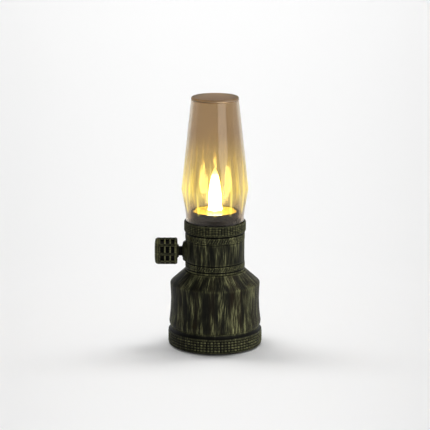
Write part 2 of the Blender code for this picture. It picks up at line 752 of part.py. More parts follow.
def make_wires():
    for name, side, coat in (("battery_lead_red", -1, RED_WIRE), ("battery_lead_black", 1, BLACK_WIRE)):
        route = [
            (13.0 * side, 0, 17.9), (13.4 * side, 0.6, 20.5),
            (12.6 * side, 2.0, 23.2), (12.0 * side, 2.4, 25.1),
        ]
        wire(name, route, coat)
    for name, side, coat in (("led_lead_red", 1.2, RED_WIRE), ("led_lead_black", -1.2, BLACK_WIRE)):
        route = [
            (6.0, side - 2.0, 28.2), (6.0, side - 2.0, 33.0), (7.2, side, 41.0), (7.2, side, 56.0),
            (5.8, side, 67.0), (2.0, side, 73.5), (1.2, side, 78.7),
        ]
        wire(name, route, coat)
    for number, (side, coat) in enumerate(((-2.5, RED_WIRE), (0.0, WHITE_WIRE), (2.5, BLACK_WIRE)), 1):
        route = [
            (-7.1, side, 47.5), (-7.1, side - 0.73, 44.0), (-6.2, side * 0.8 - 1.98, 38.0),
            (-8.5, side * 1.4 - 3.23, 32.0), (-9.0, side * 1.4 - 4.0, 28.3),
        ]
        wire(f"dimmer_lead_{number}", route, coat)


make_base()
make_tank()
make_neck()
make_collar()
make_cup()
make_light()
make_chimney()
make_dimmer()
make_knob()
make_electronics()
make_battery()
make_wires()
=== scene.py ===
import json
import math

import bmesh
import bpy
import numpy as np
from mathutils import Matrix, Vector


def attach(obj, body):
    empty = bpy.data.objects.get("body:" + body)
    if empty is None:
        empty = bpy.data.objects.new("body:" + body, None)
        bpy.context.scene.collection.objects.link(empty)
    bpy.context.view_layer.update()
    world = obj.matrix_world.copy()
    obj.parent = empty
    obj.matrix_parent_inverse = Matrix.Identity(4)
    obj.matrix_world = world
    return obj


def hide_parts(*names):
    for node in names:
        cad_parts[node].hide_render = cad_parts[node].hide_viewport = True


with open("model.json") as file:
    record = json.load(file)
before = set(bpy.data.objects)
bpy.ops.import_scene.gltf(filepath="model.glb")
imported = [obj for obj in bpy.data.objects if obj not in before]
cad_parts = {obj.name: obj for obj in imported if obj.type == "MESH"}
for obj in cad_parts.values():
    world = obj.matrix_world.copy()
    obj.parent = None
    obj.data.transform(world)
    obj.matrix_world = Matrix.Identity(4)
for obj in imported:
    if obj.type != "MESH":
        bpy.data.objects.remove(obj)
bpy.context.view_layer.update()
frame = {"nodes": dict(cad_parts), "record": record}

mm = 0.001
print("frame loaded:", len(frame["nodes"]), "nodes")


# camera: a long lens, a little above the lamp
cameraSettings = {
    "distance": 1.164,
    "height": 0.349,
    "tilt": 77.02,
    "lens": 163.6,
}
cameraData = bpy.data.cameras.new("camera")
cameraData.sensor_width = 36
cameraData.lens = cameraSettings["lens"]
cameraObject = bpy.data.objects.new("camera", cameraData)
bpy.context.scene.collection.objects.link(cameraObject)
cameraObject.location = (0, -cameraSettings["distance"], cameraSettings["height"])
cameraObject.rotation_euler = (math.radians(cameraSettings["tilt"]), 0, 0)
bpy.context.scene.camera = cameraObject


# small tools
def hexColour(code):
    # sRGB hex to the linear values that shaders want
    parts = [int(code[i:i + 2], 16) / 255 for i in (1, 3, 5)]
    linear = [c / 12.92 if c <= 0.04045 else ((c + 0.055) / 1.055) ** 2.4 for c in parts]
    return (*linear, 1.0)


def addNode(tree, kind, links=None, **settings):
    # adds a node, sets its properties, then links or fills its inputs. A node stands for its first output
    node = tree.nodes.new(kind)
    for name, value in settings.items():
        setattr(node, name, value)
    for key, value in (links or {}).items():
        if isinstance(value, bpy.types.Node):
            value = value.outputs[0]
        if isinstance(value, bpy.types.NodeSocket):
            tree.links.new(value, node.inputs[key])
        else:
            node.inputs[key].default_value = value
    return node


def setRamp(node, stops):
    # stops are (position, colour) pairs
    ramp = node.color_ramp
    while len(ramp.elements) < len(stops):
        ramp.elements.new(1.0)
    for element, (position, colour) in zip(ramp.elements, stops):
        element.position = position
        element.color = colour
    return node


def newMaterial(name, **shaderValues):
    made = bpy.data.materials.new(name)
    made.use_nodes = True
    shader = made.node_tree.nodes["Principled BSDF"]
    for key, value in shaderValues.items():
        shader.inputs[key.replace("_", " ")].default_value = value
    return made, made.node_tree, shader


def addPiece(obj, material, body, slot, *nodes):
    # hands a finished object to the frame
    if material:
        obj.data.materials.clear()
        obj.data.materials.append(material)
    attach(obj, body)
    if nodes:
        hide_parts(*nodes)
    return obj


def linkObject(name, mesh):
    obj = bpy.data.objects.new(name, mesh)
    bpy.context.scene.collection.objects.link(obj)
    return obj


def linkBody(name, body):
    mesh = bpy.data.meshes.new(name)
    body.to_mesh(mesh)
    body.free()
    return linkObject(name, mesh)


def bakeModifiers(obj, name):
    # the evaluated object as a plain mesh of its own
    bpy.context.view_layer.update()
    graph = bpy.context.evaluated_depsgraph_get()
    mesh = bpy.data.meshes.new_from_object(obj.evaluated_get(graph))
    mesh.name = name
    bpy.data.objects.remove(obj)
    return linkObject(name, mesh)


# turned shapes
def filletOutline(corners, closed=True):
    # corners are (radius, height, fillet) in mm, and the result is points in mm, rounded at each corner
    count = len(corners)
    points = []
    for i, (r, z, fillet) in enumerate(corners):
        here = np.array([r, z], float)
        if fillet == 0 or (not closed and i in (0, count - 1)):
            points.append(here)
            continue
        before = np.array(corners[i - 1][:2], float) - here
        after = np.array(corners[(i + 1) % count][:2], float) - here
        lengthIn, lengthOut = np.linalg.norm(before), np.linalg.norm(after)
        before, after = before / lengthIn, after / lengthOut
        half = math.acos(max(-1, min(1, float(before @ after)))) / 2
        if half > math.radians(89):
            points.append(here)
            continue
        reach = min(fillet / math.tan(half), 0.48 * lengthIn, 0.48 * lengthOut)
        radius = reach * math.tan(half)
        middle = (before + after) / np.linalg.norm(before + after)
        centre = here + middle * radius / math.sin(half)
        start, end = here + before * reach - centre, here + after * reach - centre
        turn = math.pi - 2 * half
        steps = max(2, math.ceil(math.degrees(turn) / 15))
        for j in range(steps + 1):
            share = j / steps
            mixed = start * math.sin((1 - share) * turn) + end * math.sin(share * turn)
            points.append(centre + mixed / math.sin(turn))
    return np.array(points)


def spacedOutline(points, closed, longest):
    # splits the straights, so that wear can fade along them
    found = []
    last = len(points) if closed else len(points) - 1
    for i in range(last):
        a, b = points[i], points[(i + 1) % len(points)]
        parts = max(1, math.ceil(np.linalg.norm(b - a) / longest))
        found.extend(a + (b - a) * j / parts for j in range(parts))
    if not closed:
        found.append(points[-1])
    return np.array(found)


def outlineWearAndGrooveShade(points, closed, reach=0.4):
    # above 0 on proud edges, where dry-brushed paint wears on, and below 0 in grooves, where it drives
    # painted shade, fading over reach mm
    count = len(points)
    bend = np.zeros(count)
    for i in range(count):
        if not closed and i in (0, count - 1):
            continue
        a, b = points[i] - points[i - 1], points[(i + 1) % count] - points[i]
        cross = a[0] * b[1] - a[1] * b[0]
        bend[i] = -math.atan2(cross, float(a @ b))
    distance = np.linalg.norm(points[:, None] - points[None], axis=2)
    weight = np.exp(-(distance / reach) ** 2)
    return np.clip(weight @ bend / 1.2, -1, 1)


def turnedObject(name, corners, steps, closed=True, longest=0.9):
    # outlines run down the outer side, so a proud edge turns clockwise
    outline = spacedOutline(filletOutline(corners, closed), closed, longest)
    wearAndGrooveShade = outlineWearAndGrooveShade(outline, closed)
    angles = np.arange(steps) * 2 * math.pi / steps
    count = len(outline)
    spun = np.empty((steps, count, 3))
    spun[:, :, 0] = np.cos(angles)[:, None] * outline[None, :, 0]
    spun[:, :, 1] = np.sin(angles)[:, None] * outline[None, :, 0]
    spun[:, :, 2] = outline[None, :, 1]
    faces = []
    last = count if closed else count - 1
    for i in range(steps):
        j = (i + 1) % steps
        for k in range(last):
            n = (k + 1) % count
            faces.append((i * count + k, i * count + n, j * count + n, j * count + k))
    mesh = bpy.data.meshes.new(name)
    mesh.from_pydata((spun * mm).reshape(-1, 3).tolist(), [], faces)
    layer = mesh.attributes.new("wearAndGrooveShade", "FLOAT", "POINT")
    layer.data.foreach_set("value", np.tile(wearAndGrooveShade, steps).astype(np.float32))
    body = bmesh.new()
    body.from_mesh(mesh)
    bmesh.ops.remove_doubles(body, verts=body.verts, dist=1e-7)
    if body.calc_volume(signed=True) < 0:
        bmesh.ops.reverse_faces(body, faces=body.faces)
    body.to_mesh(mesh)
    body.free()
    mesh.shade_smooth()
    mesh.set_sharp_from_angle(angle=math.radians(50))
    return linkObject(name, mesh)


# finishes
def ringCoordinates(tree, centre, turn, along):
    # a point on the unit circle round the piece's axis, so no seam at the back. Its height less its reach,
    # times along, lets strokes run down a wall and over a shoulder alike
    place = addNode(tree, "ShaderNodeTexCoord").outputs["Object"]
    level = addNode(tree, "ShaderNodeMapping", {"Vector": place, "Location": [-c for c in centre]})
    turned = addNode(tree, "ShaderNodeMapping", {"Vector": level, "Rotation": turn})
    flat = addNode(tree, "ShaderNodeVectorMath", {0: turned, 1: (1, 1, 0)}, operation="MULTIPLY")
    circle = addNode(tree, "ShaderNodeVectorMath", {0: flat}, operation="NORMALIZE")
    height = addNode(tree, "ShaderNodeSeparateXYZ", {0: turned}).outputs["Z"]
    reach = addNode(tree, "ShaderNodeVectorMath", {0: flat}, operation="LENGTH").outputs["Value"]
    travel = addNode(tree, "ShaderNodeMath", {0: height, 1: reach}, operation="SUBTRACT")
    upright = addNode(tree, "ShaderNodeCombineXYZ", {"Z": travel})
    joined = addNode(tree, "ShaderNodeVectorMath", {
        0: upright, 1: (0, 0, along), 2: circle}, operation="MULTIPLY_ADD")
    return joined.outputs[0], height, turned.outputs[0]


bronzeSettings = {
    "bareDark": "#080807",
    "bareLight": "#11110d",
    "brown": "#22160a",
    "paintThin": "#26271b",
    "paintThick": "#8e8e64",
    # painted shade, laid into grooves
    "grooveShade": "#040403",
    "bristle": (0.36, 9.0),  # width and length in mm of what one bristle leaves
    "stroke": (3.6, 20.0),  # and of a patch where the brush held more paint
    "lean": -2.5,  # how fast the crossing strokes lean, in radians per metre of height
    "bristleMarks": (0.47, 0.82),  # noise from where a bristle leaves nothing to where it leaves most
    "load": (0.4, 0.68),  # and from an empty brush to a full one
    "emptyBrush": 0.15,
    "opaque": 0.45,  # paint that hides what lies under it
    "grooveShadeDepths": (-0.1, -0.6),  # painted shade: values of the edge attribute at a shallow groove and at a deep one
    "rust": (0.45, 0.65),
    "grainScale": 900.0,
    "relief": 0.12,  # height in mm
}


def dryBrushedBronze(name, radius, centre=(0, 0, 0), turn=(0, 0, 0), strokes=1.0, brown=0.0, edge=0.5,
                     broken=0.8):
    # moulded ABS, painted near black, then dry-brushed: gold pigment sits in strokes and on proud edges
    s = bronzeSettings
    made, tree, shader = newMaterial(name, Specular_IOR_Level=0.06)
    width, length = s["bristle"]
    patchWidth, patchLength = s["stroke"]
    across = radius / width  # noise cells along one radius, because the coordinates run on the unit circle
    circle, height, place = ringCoordinates(tree, centre, turn, 1000.0 * width / (radius * length))
    lean = addNode(tree, "ShaderNodeMath", {0: height, 1: s["lean"]}, operation="MULTIPLY")
    leaning = addNode(tree, "ShaderNodeVectorRotate", {"Vector": circle, "Angle": lean, "Axis": (0, 0, 1)})
    shorter = (patchWidth / width) / (patchLength / length)
    patchPlace = addNode(tree, "ShaderNodeVectorMath", {0: circle, 1: (1, 1, shorter)}, operation="MULTIPLY")
    straight = addNode(tree, "ShaderNodeTexNoise", {
        "Vector": circle, "Scale": across, "Detail": 3.0, "Roughness": 0.6})
    crossing = addNode(tree, "ShaderNodeTexNoise", {
        "Vector": leaning, "Scale": across * 0.8, "Detail": 3.0, "Roughness": 0.6})
    patches = addNode(tree, "ShaderNodeTexNoise", {
        "Vector": patchPlace, "Scale": radius / patchWidth, "Detail": 2.0, "Roughness": 0.5})
    wearAndGrooveShade = addNode(tree, "ShaderNodeAttribute", attribute_name="wearAndGrooveShade").outputs["Fac"]

    both = addNode(tree, "ShaderNodeMath", {
        0: straight.outputs["Fac"], 1: crossing.outputs["Fac"]}, operation="MAXIMUM")
    bristles = addNode(tree, "ShaderNodeMapRange", {
        "Value": both, "From Min": s["bristleMarks"][0], "From Max": s["bristleMarks"][1]})
    load = addNode(tree, "ShaderNodeMapRange", {
        "Value": patches.outputs["Fac"], "From Min": s["load"][0], "From Max": s["load"][1],
        "To Min": s["emptyBrush"] * strokes, "To Max": strokes})
    brushed = addNode(tree, "ShaderNodeMath", {0: bristles, 1: load}, operation="MULTIPLY")
    # proud edges take paint too, broken up by the same bristles
    gaps = addNode(tree, "ShaderNodeMath", {0: bristles, 1: broken, 2: 1.0 - broken},
                   operation="MULTIPLY_ADD")
    touched = addNode(tree, "ShaderNodeMath", {0: wearAndGrooveShade, 1: gaps}, operation="MULTIPLY")
    paint = addNode(tree, "ShaderNodeMath", {0: touched, 1: edge, 2: brushed}, operation="MULTIPLY_ADD",
                    use_clamp=True)

    grain = addNode(tree, "ShaderNodeTexNoise", {"Vector": place, "Scale": s["grainScale"], "Detail": 2.0})
    bare = addNode(tree, "ShaderNodeMix", {
        "Factor": patches.outputs["Fac"], "A": hexColour(s["bareDark"]), "B": hexColour(s["bareLight"])},
        data_type="RGBA")
    rust = addNode(tree, "ShaderNodeTexNoise", {"Vector": circle, "Scale": 3.0, "Detail": 3.0})
    rusty = addNode(tree, "ShaderNodeMapRange", {
        "Value": rust.outputs["Fac"], "From Min": s["rust"][0], "From Max": s["rust"][1], "To Max": brown})
    tinted = addNode(tree, "ShaderNodeMix", {
        "Factor": rusty, "A": bare.outputs["Result"], "B": hexColour(s["brown"])},
        data_type="RGBA")
    pigment = addNode(tree, "ShaderNodeMix", {
        "Factor": paint, "A": hexColour(s["paintThin"]), "B": hexColour(s["paintThick"])},
        data_type="RGBA")
    covered = addNode(tree, "ShaderNodeMapRange", {"Value": paint, "From Max": s["opaque"]})
    coloured = addNode(tree, "ShaderNodeMix", {
        "Factor": covered, "A": tinted.outputs["Result"], "B": pigment.outputs["Result"]},
        data_type="RGBA")
    # painted shade: grooves darken towards a near-black, more the deeper they are
    grooveShadeFactor = addNode(tree, "ShaderNodeMapRange", {
        "Value": wearAndGrooveShade, "From Min": s["grooveShadeDepths"][0], "From Max": s["grooveShadeDepths"][1]})
    grooveShaded = addNode(tree, "ShaderNodeMix", {
        "Factor": grooveShadeFactor, "A": coloured.outputs["Result"], "B": hexColour(s["grooveShade"])},
        data_type="RGBA")
    tree.links.new(grooveShaded.outputs["Result"], shader.inputs["Base Color"])

    rough = addNode(tree, "ShaderNodeMapRange", {"Value": paint, "To Min": 0.42, "To Max": 0.55})
    roughGrain = addNode(tree, "ShaderNodeMath", {
        0: grain.outputs["Fac"], 1: 0.12, 2: rough}, operation="MULTIPLY_ADD")
    tree.links.new(roughGrain.outputs[0], shader.inputs["Roughness"])
    metal = addNode(tree, "ShaderNodeMath", {0: paint, 1: 0.35}, operation="MULTIPLY")
    tree.links.new(metal.outputs[0], shader.inputs["Metallic"])
    ridges = addNode(tree, "ShaderNodeMath", {
        0: straight.outputs["Fac"], 1: 0.7, 2: paint}, operation="MULTIPLY_ADD")
    relief = addNode(tree, "ShaderNodeMath", {
        0: grain.outputs["Fac"], 1: 0.25, 2: ridges}, operation="MULTIPLY_ADD")
    bump = addNode(tree, "ShaderNodeBump", {
        "Height": relief, "Strength": 0.6, "Distance": s["relief"] * mm})
    tree.links.new(bump.outputs[0], shader.inputs["Normal"])
    return made


def grainedFinish(name, colour, second, roughness, spread, patch, grain, relief=0.02, metallic=0.0,
                  stretch=(1, 1, 1), **shaderValues):
    # two close colours in patches, and a fine grain in the gloss and the relief. Sizes are in mm
    made, tree, shader = newMaterial(name, Metallic=metallic, **shaderValues)
    place = addNode(tree, "ShaderNodeTexCoord").outputs["Object"]
    pulled = addNode(tree, "ShaderNodeVectorMath", {0: place, 1: stretch}, operation="MULTIPLY").outputs[0]
    patches = addNode(tree, "ShaderNodeTexNoise", {"Vector": pulled, "Scale": 1000 / patch, "Detail": 3.0})
    fine = addNode(tree, "ShaderNodeTexNoise", {"Vector": pulled, "Scale": 1000 / grain, "Detail": 2.0})
    mixed = addNode(tree, "ShaderNodeMix", {
        "Factor": patches.outputs["Fac"], "A": hexColour(colour), "B": hexColour(second)}, data_type="RGBA")
    tree.links.new(mixed.outputs["Result"], shader.inputs["Base Color"])
    gloss = addNode(tree, "ShaderNodeMapRange", {
        "Value": fine.outputs["Fac"], "To Min": roughness - spread, "To Max": roughness + spread})
    tree.links.new(gloss.outputs[0], shader.inputs["Roughness"])
    bump = addNode(tree, "ShaderNodeBump", {
        "Height": fine.outputs["Fac"], "Strength": 0.5, "Distance": relief * mm})
    tree.links.new(bump.outputs[0], shader.inputs["Normal"])
    return made


# knurling: rings of small blocks stacked along Z, as a Geometry Nodes tree
def knurlTree():
    tree = bpy.data.node_groups.new("knurlRows", "GeometryNodeTree")
    sockets = (
        ("Radius", "NodeSocketFloat"), ("Bottom", "NodeSocketVector"), ("Rows", "NodeSocketInt"),
        ("RowStep", "NodeSocketVector"), ("Columns", "NodeSocketInt"), ("TileSize", "NodeSocketVector"),
        ("Slant", "NodeSocketVector"), ("RowTurn", "NodeSocketFloat"), ("Rounding", "NodeSocketInt"),
        ("Seed", "NodeSocketInt"), ("Material", "NodeSocketMaterial"),
    )
    for name, kind in sockets:
        tree.interface.new_socket(name, in_out="INPUT", socket_type=kind)
    tree.interface.new_socket("Geometry", in_out="OUTPUT", socket_type="NodeSocketGeometry")
    given = addNode(tree, "NodeGroupInput").outputs

    # one ring's points on each point of an upright line
    ring = addNode(tree, "GeometryNodeMeshCircle", {"Vertices": given["Columns"], "Radius": given["Radius"]})
    column = addNode(tree, "GeometryNodeMeshLine", {
        "Count": given["Rows"], "Start Location": given["Bottom"], "Offset": given["RowStep"]})
    row = addNode(tree, "GeometryNodeInputIndex").outputs[0]
    rowAngle = addNode(tree, "ShaderNodeMath", {0: row, 1: given["RowTurn"]}, operation="MULTIPLY")
    rowRotation = addNode(tree, "ShaderNodeCombineXYZ", {"Z": rowAngle})
    rings = addNode(tree, "GeometryNodeInstanceOnPoints", {
        "Points": column, "Instance": ring, "Rotation": rowRotation})
    points = addNode(tree, "GeometryNodeRealizeInstances", {"Geometry": rings})

    # each block faces outwards
    position = addNode(tree, "GeometryNodeInputPosition").outputs[0]
    outwards = addNode(tree, "ShaderNodeVectorMath", {0: position, 1: (1, 1, 0)}, operation="MULTIPLY")
    facing = addNode(tree, "FunctionNodeAlignRotationToVector", {"Vector": outwards},
                     axis="X", pivot_axis="Z")
    slanted = addNode(tree, "FunctionNodeRotateRotation", {
        "Rotation": facing, "Rotate By": given["Slant"]}, rotation_space="LOCAL")
    cube = addNode(tree, "GeometryNodeMeshCube", {"Size": given["TileSize"]})
    rounded = addNode(tree, "GeometryNodeSubdivisionSurface", {
        "Mesh": cube.outputs["Mesh"], "Level": given["Rounding"], "Edge Crease": 0.55})
    copies = addNode(tree, "GeometryNodeInstanceOnPoints", {
        "Points": points, "Instance": rounded, "Rotation": slanted})

    # how much paint each block took, stored for the finish
    chance = addNode(tree, "FunctionNodeRandomValue", {2: 0.35, 3: 0.75, "Seed": given["Seed"]})
    marked = addNode(tree, "GeometryNodeStoreNamedAttribute", {
        "Geometry": copies, "Name": "wearAndGrooveShade", "Value": chance.outputs[1]}, domain="INSTANCE")
    real = addNode(tree, "GeometryNodeRealizeInstances", {"Geometry": marked})
    coated = addNode(tree, "GeometryNodeSetMaterial", {"Geometry": real, "Material": given["Material"]})
    addNode(tree, "NodeGroupOutput", {"Geometry": coated})
    return tree


def runTree(tree, name, values, start=None):
    # a tree's result as a plain mesh object
    obj = linkObject(name + "Source", start or bpy.data.meshes.new(name))
    modifier = obj.modifiers.new("nodes", "NODES")
    modifier.node_group = tree
    for item in tree.interface.items_tree:
        if item.in_out == "INPUT" and item.name in values:
            modifier[item.identifier] = values[item.name]
    return bakeModifiers(obj, name)


knurlRows = knurlTree()


def knurlBlocks(name, s, material):
    return runTree(knurlRows, name, {
        "Radius": s["radius"] * mm,
        "Bottom": (0, 0, s["bottom"] * mm),
        "Rows": s["rows"],
        "RowStep": (0, 0, s["rowPitch"] * mm),
        "Columns": s["columns"],
        "TileSize": [side * mm for side in s["tile"]],
        "Slant": (math.radians(s["slant"]), 0, 0),
        "RowTurn": math.radians(s["rowTurn"]),
        "Rounding": s["rounding"],
        "Seed": s["seed"],
        "Material": material,
    })


def knurlBand(name, s, material):
    band = knurlBlocks(name, s, material)
    band.data.shade_smooth()
    addPiece(band, material, "lamp_body", "painted_bronze")


# base ring
baseSettings = {
    "corners": [
        (26.3, 12.0, 0.1), (27.1, 12.0, 0.3), (27.6, 9.9, 1.6), (28.75, 9.2, 0.5), (28.75, 8.35, 0.35),
        (28.45, 8.2, 0.1), (28.45, 1.6, 0.1), (28.75, 1.4, 0.25), (28.6, 0.5, 0.9), (27.0, 0.5, 0.2),
        (27.0, 2.8, 0.0), (24.7, 2.8, 0.0), (24.7, 4.9, 0.0), (26.3, 4.9, 0.0),
    ],
    "tiles": {"radius": 28.53, "bottom": 2.35, "rows": 4, "rowPitch": 1.68, "rowTurn": 0, "columns": 84,
              "tile": (0.8, 1.75, 1.05), "slant": 0, "rounding": 1, "seed": 7},
}
ringBronze = dryBrushedBronze("dryBrushedAbsRings", 28.0, strokes=0.35, edge=0.5)
tileBronze = dryBrushedBronze("dryBrushedAbsTiles", 28.0, strokes=0.25, edge=0.68, broken=0.4)
addPiece(turnedObject("baseRing", baseSettings["corners"], 180), ringBronze, "lamp_body", "painted_bronze",
         "base_ring")
knurlBand("baseRingTiles", baseSettings["tiles"], tileBronze)
print("base ring made")


# tank
tankSettings = {
    "corners": [
        (16.6, 46.6, 0.2), (19.0, 46.6, 0.35), (27.55, 38.9, 1.3), (27.45, 37.0, 0.6), (27.3, 34.2, 8.0),
        (27.1, 29.0, 20.0), (27.45, 21.0, 20.0), (28.2, 14.6, 3.0), (28.0, 13.0, 0.8), (27.5, 12.25, 0.3),
        (26.0, 12.2, 0.1), (26.0, 5.2, 0.0), (23.0, 5.2, 0.0), (23.0, 13.2, 0.0), (25.2, 17.5, 0.0),
        (25.1, 30.0, 0.0), (25.6, 37.5, 0.0), (18.5, 43.9, 0.0), (18.5, 42.2, 0.0), (16.6, 42.2, 0.0),
    ],
    "port": {"width": 12.4, "height": 6.6, "depth": 8, "place": (0, 27.0, 24.1), "corner": 1.6},
}


def portCutter(s):
    body = bmesh.new()
    bmesh.ops.create_cube(body, size=1.0)
    bmesh.ops.scale(body, vec=(s["width"] * mm, s["depth"] * mm, s["height"] * mm), verts=body.verts)
    bmesh.ops.translate(body, vec=[place * mm for place in s["place"]], verts=body.verts)
    along = [e for e in body.edges if abs((e.verts[0].co - e.verts[1].co).normalized().y) > 0.9]
    bmesh.ops.bevel(body, geom=along, offset=s["corner"] * mm, segments=5, affect="EDGES", profile=0.5)
    bmesh.ops.recalc_face_normals(body, faces=body.faces)
    return linkBody("portCutter", body)


def makeTank(s):
    shell = turnedObject("tankShell", s["corners"], 180)
    cutter = portCutter(s["port"])
    change = shell.modifiers.new("port", "BOOLEAN")
    change.operation = "DIFFERENCE"
    change.object = cutter
    shell = bakeModifiers(shell, "tankShell")
    bpy.data.objects.remove(cutter)
    return shell


tankBronze = dryBrushedBronze("dryBrushedAbsTank", 27.0, strokes=1.2, brown=0.35, edge=0.4)
addPiece(makeTank(tankSettings), tankBronze, "lamp_body", "painted_bronze", "tank_shell")
print("tank made")


# neck
neckSettings = {
    "corners": [
        (17.3, 72.6, 0.1), (17.3, 69.8, 0.1), (18.3, 69.8, 0.3), (18.1, 69.4, 0.1), (18.0, 66.6, 0.1),
        (18.3, 66.0, 0.25), (17.8, 65.85, 0.1), (17.8, 65.5, 0.1), (18.08, 65.3, 0.2), (18.08, 52.7, 0.2),
        (17.75, 52.5, 0.1), (17.75, 52.0, 0.1), (18.35, 51.8, 0.25), (18.1, 51.2, 0.1), (18.1, 49.5, 0.1),
        (18.35, 48.9, 0.25), (17.85, 48.6, 0.1), (17.85, 48.1, 0.1), (18.3, 47.8, 0.25), (18.3, 46.95, 0.2),
        (16.3, 46.9, 0.0), (16.3, 42.4, 0.0), (14.5, 42.4, 0.0), (14.5, 48.6, 0.0), (16.2, 50.4, 0.0),
        (16.2, 65.4, 0.0), (8.5, 65.4, 0.0), (8.5, 66.5, 0.0), (16.2, 66.5, 0.0), (16.2, 72.6, 0.0),
    ],
    "upperTiles": {"radius": 18.05, "bottom": 67.0, "rows": 3, "rowPitch": 0.98, "rowTurn": 1.6,
                   "columns": 72, "tile": (0.5, 1.0, 0.6), "slant": 20, "rounding": 1, "seed": 3},
    "lowerTiles": {"radius": 18.1, "bottom": 49.85, "rows": 2, "rowPitch": 0.95, "rowTurn": 1.6,
                   "columns": 72, "tile": (0.5, 1.0, 0.6), "slant": 20, "rounding": 1, "seed": 4},
}
neckBronze = dryBrushedBronze("dryBrushedAbsNeck", 18.0, strokes=1.05, edge=0.4)
addPiece(turnedObject("neckShell", neckSettings["corners"], 160), neckBronze, "lamp_body", "painted_bronze",
         "neck_shell")
knurlBand("neckUpperTiles", neckSettings["upperTiles"], tileBronze)
knurlBand("neckLowerTiles", neckSettings["lowerTiles"], tileBronze)

collarSettings = {
    "corners": [
        (18.15, 77.3, 0.15), (18.8, 77.3, 0.3), (18.75, 76.9, 0.1), (18.6, 76.8, 0.1), (18.6, 71.75, 0.1),
        (18.8, 71.6, 0.2), (18.6, 71.1, 0.2), (17.9, 71.0, 0.1), (17.6, 71.0, 0.0), (17.6, 72.9, 0.0),
        (15.4, 72.9, 0.0), (15.4, 73.7, 0.1), (18.15, 73.7, 0.1),
    ],
    "tiles": {"radius": 18.68, "bottom": 72.25, "rows": 5, "rowPitch": 1.05, "rowTurn": 0, "columns": 62,
              "tile": (0.65, 1.5, 0.66), "slant": 0, "rounding": 1, "seed": 5},
}
addPiece(turnedObject("chimneyCollar", collarSettings["corners"], 160), ringBronze, "lamp_body",
         "painted_bronze", "chimney_collar")
knurlBand("collarTiles", collarSettings["tiles"], tileBronze)
print("neck and collar made")


# dimmer knob, its nut and boss: turned about the knob's own axis, then laid along -X
knobSettings = {
    "height": 58.2,
    "corners": [
        (0.0, 36.7, 0.0), (5.6, 36.9, 1.0), (7.6, 36.5, 0.9), (8.2, 35.1, 1.6), (8.2, 23.9, 0.4),
        (7.6, 23.1, 0.5), (4.5, 23.1, 0.4), (3.6, 22.2, 0.3), (3.2, 22.2, 0.1), (3.2, 34.6, 0.0),
        (0.0, 34.6, 0.0),
    ],
    "pockets": {"radius": 8.2, "bottom": 25.8, "rows": 3, "rowPitch": 3.3, "rowTurn": 0, "columns": 9,
                "tile": (2.6, 4.25, 2.4), "slant": 0, "rounding": 0, "seed": 1},
    "firstPocket": 8.5,  # degrees round the knob from straight up
    "softened": 0.18,
}
layAlongX = Matrix.Translation((0, 0, knobSettings["height"] * mm)) @ Matrix.Rotation(-math.pi / 2, 4, "Y")
knobCentre = (0, 0, knobSettings["height"] * mm)
knobTurn = (0, math.pi / 2, 0)


def markEdges(mesh, reach):
    # the edge attribute, from how far each point's neighbours fall away behind it, spread over reach mm:
    # paint wear on proud edges, painted shade in hollows
    body = bmesh.new()
    body.from_mesh(mesh)
    layer = body.verts.layers.float.get("wearAndGrooveShade") or body.verts.layers.float.new("wearAndGrooveShade")
    for vert in body.verts:
        sharpest = 0.0
        for edge in vert.link_edges:
            if len(edge.link_faces) == 2:
                sharpest += edge.calc_face_angle_signed(0.0)
        vert[layer] = max(-1.0, min(1.0, sharpest * reach))
    body.to_mesh(mesh)
    body.free()


def makeKnob(s, material):
    drum = turnedObject("dimmerKnob", s["corners"], 120, closed=False)
    pockets = knurlBlocks("knobPockets", s["pockets"], material)
    pockets.data.transform(Matrix.Rotation(math.radians(s["firstPocket"]), 4, "Z"))
    change = drum.modifiers.new("pockets", "BOOLEAN")
    change.operation = "DIFFERENCE"
    change.object = pockets
    soften = drum.modifiers.new("soften", "BEVEL")
    soften.width = s["softened"] * mm
    soften.segments = 2
    soften.limit_method = "ANGLE"
    soften.angle_limit = math.radians(40)
    knob = bakeModifiers(drum, "dimmerKnob")
    bpy.data.objects.remove(pockets)
    knob.data.transform(layAlongX)
    markEdges(knob.data, 0.9)
    return knob


def makeNut(name, radius, near, far, chamfer):
    body = bmesh.new()
    bmesh.ops.create_cone(body, cap_ends=True, segments=8, radius1=radius * mm, radius2=radius * mm,
                          depth=(far - near) * mm)
    bmesh.ops.rotate(body, verts=body.verts, matrix=Matrix.Rotation(math.pi / 8, 3, "Z"))
    bmesh.ops.translate(body, verts=body.verts, vec=(0, 0, (near + far) / 2 * mm))
    outer = [e for e in body.edges if all(v.co.z > (far - 0.01) * mm for v in e.verts)]
    bmesh.ops.bevel(body, geom=outer, offset=chamfer * mm, segments=1, affect="EDGES")
    bmesh.ops.bevel(body, geom=list(body.edges), offset=0.15 * mm, segments=2, affect="EDGES", profile=0.5)
    nut = linkBody(name, body)
    nut.data.transform(layAlongX)
    markEdges(nut.data, 0.35)
    nut.data.shade_smooth()
    nut.data.set_sharp_from_angle(angle=math.radians(25))
    return nut


